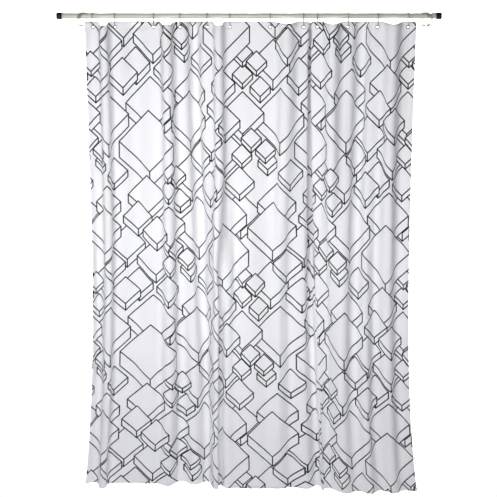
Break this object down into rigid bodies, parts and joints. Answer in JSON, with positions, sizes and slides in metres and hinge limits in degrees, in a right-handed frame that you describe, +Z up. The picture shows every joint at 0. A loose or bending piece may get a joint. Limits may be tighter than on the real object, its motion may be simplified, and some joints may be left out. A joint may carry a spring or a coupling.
{
  "type": "shower curtain",
  "caption": "White polyester shower curtain with a thin black line print of boxes, hung by clear rings and metal eyelets on a telescopic tension rod with rubber ends.",
  "frame": {"origin": "centre of the left end cap's flat face, on the rod's axis, where the rod presses on the left wall", "axes": "+X along the rod to the right wall, +Z up, the room on the -Y side"},
  "size_m": [1.49, 0.1476, 2.0449],
  "materials": {
    "rod_enamel": "satin ivory enamel on steel tube",
    "rod_steel": "zinc plated steel",
    "pale_plastic": "moulded pale plastic",
    "rubber": "matt black moulded rubber",
    "nylon": "moulded natural nylon",
    "clear_plastic": "translucent moulded plastic",
    "eyelet_metal": "nickel plated brass",
    "cloth": "plain woven white polyester printed with thin black line boxes"
  },
  "bodies": {
    "rod": {"outer_tube": "rod_enamel", "left_end_cap": "rubber", "left_collar": "pale_plastic", "guide_bush": "nylon"},
    "lock": {"lock_sleeve": "nylon"},
    "lock_cone": {"lock_cone": "nylon"},
    "spindle": {"lock_spindle": "rod_steel", "tension_spring": "rod_steel"},
    "inner_rod": {"inner_tube": "rod_steel", "right_collar": "pale_plastic", "right_end_cap": "rubber", "inner_plug": "nylon", "spring_stop": "nylon"},
    "curtain": {"curtain_panel": "cloth", "ring_01": "clear_plastic", "eyelet_01": "eyelet_metal"},
    "ring_02": {"ring_02": "clear_plastic", "eyelet_02": "eyelet_metal"},
    "ring_03": {"ring_03": "clear_plastic", "eyelet_03": "eyelet_metal"},
    "ring_04": {"ring_04": "clear_plastic", "eyelet_04": "eyelet_metal"},
    "ring_05": {"ring_05": "clear_plastic", "eyelet_05": "eyelet_metal"},
    "ring_06": {"ring_06": "clear_plastic", "eyelet_06": "eyelet_metal"},
    "ring_07": {"ring_07": "clear_plastic", "eyelet_07": "eyelet_metal"},
    "ring_08": {"ring_08": "clear_plastic", "eyelet_08": "eyelet_metal"},
    "ring_09": {"ring_09": "clear_plastic", "eyelet_09": "eyelet_metal"},
    "ring_10": {"ring_10": "clear_plastic", "eyelet_10": "eyelet_metal"},
    "ring_11": {"ring_11": "clear_plastic", "eyelet_11": "eyelet_metal"},
    "ring_12": {"ring_12": "clear_plastic", "eyelet_12": "eyelet_metal"},
    "spare_rings_left": {"spare_ring_left_1": "clear_plastic", "spare_ring_left_2": "clear_plastic", "spare_ring_left_3": "clear_plastic"},
    "spare_rings_right": {"spare_ring_right_1": "clear_plastic", "spare_ring_right_2": "clear_plastic", "spare_ring_right_3": "clear_plastic"}
  },
  "joints": [
    {"name": "rod_length", "type": "slide", "parent": "rod", "child": "lock", "axis": [1, 0, 0], "range_m": [0, 0.65]},
    {"name": "lock_twist", "type": "hinge", "parent": "lock", "child": "spindle", "pos_m": [0.66, 0, 0], "axis": [1, 0, 0], "range_deg": [-360, 0]},
    {"name": "cone_travel", "type": "slide", "parent": "lock", "child": "lock_cone", "axis": [1, 0, 0], "range_m": [-0.0021, 0]},
    {"name": "end_spring", "type": "slide", "parent": "spindle", "child": "inner_rod", "axis": [1, 0, 0], "range_m": [-0.005, 0.01], "stiffness_N_per_m": 2000, "deforming": ["tension_spring"]},
    {"name": "curtain_swing", "type": "hinge", "parent": "rod", "child": "curtain", "pos_m": [0.14, 0, 0], "axis": [1, 0, 0], "range_deg": [-20, 20]},
    {"name": "curtain_draw", "type": "slide", "parent": "curtain", "child": "ring_12", "axis": [-1, 0, 0], "range_m": [0, 0.85505], "deforming": ["curtain_panel"]},
    {"name": "ring_02_slide", "type": "slide", "parent": "curtain", "child": "ring_02", "axis": [-1, 0, 0], "range_m": [0, 0.0602]},
    {"name": "ring_03_slide", "type": "slide", "parent": "curtain", "child": "ring_03", "axis": [-1, 0, 0], "range_m": [0, 0.1652]},
    {"name": "ring_04_slide", "type": "slide", "parent": "curtain", "child": "ring_04", "axis": [-1, 0, 0], "range_m": [0, 0.23661]},
    {"name": "ring_05_slide", "type": "slide", "parent": "curtain", "child": "ring_05", "axis": [-1, 0, 0], "range_m": [0, 0.31011]},
    {"name": "ring_06_slide", "type": "slide", "parent": "curtain", "child": "ring_06", "axis": [-1, 0, 0], "range_m": [0, 0.3717]},
    {"name": "ring_07_slide", "type": "slide", "parent": "curtain", "child": "ring_07", "axis": [-1, 0, 0], "range_m": [0, 0.48126]},
    {"name": "ring_08_slide", "type": "slide", "parent": "curtain", "child": "ring_08", "axis": [-1, 0, 0], "range_m": [0, 0.57086]},
    {"name": "ring_09_slide", "type": "slide", "parent": "curtain", "child": "ring_09", "axis": [-1, 0, 0], "range_m": [0, 0.60866]},
    {"name": "ring_10_slide", "type": "slide", "parent": "curtain", "child": "ring_10", "axis": [-1, 0, 0], "range_m": [0, 0.69196]},
    {"name": "ring_11_slide", "type": "slide", "parent": "curtain", "child": "ring_11", "axis": [-1, 0, 0], "range_m": [0, 0.77245]},
    {"name": "spare_rings_left_swing", "type": "hinge", "parent": "rod", "child": "spare_rings_left", "pos_m": [0.104, 0, 0], "axis": [1, 0, 0], "range_deg": [-20, 20]},
    {"name": "spare_rings_right_swing", "type": "hinge", "parent": "rod", "child": "spare_rings_right", "pos_m": [1.429, 0, 0], "axis": [1, 0, 0], "range_deg": [-40, 40]}
  ],
  "couplings": [
    {"joint": "cone_travel", "follows": "lock_twist", "m_per_rad": 0.0003183},
    {"joint": "ring_02_slide", "follows": "curtain_draw", "ratio": 0.070405},
    {"joint": "ring_03_slide", "follows": "curtain_draw", "ratio": 0.1932},
    {"joint": "ring_04_slide", "follows": "curtain_draw", "ratio": 0.27671},
    {"joint": "ring_05_slide", "follows": "curtain_draw", "ratio": 0.36267},
    {"joint": "ring_06_slide", "follows": "curtain_draw", "ratio": 0.43471},
    {"joint": "ring_07_slide", "follows": "curtain_draw", "ratio": 0.56283},
    {"joint": "ring_08_slide", "follows": "curtain_draw", "ratio": 0.66762},
    {"joint": "ring_09_slide", "follows": "curtain_draw", "ratio": 0.71183},
    {"joint": "ring_10_slide", "follows": "curtain_draw", "ratio": 0.80925},
    {"joint": "ring_11_slide", "follows": "curtain_draw", "ratio": 0.9034},
    {"joint": "spare_rings_left_swing", "follows": "curtain_swing", "ratio": 1}
  ]
}
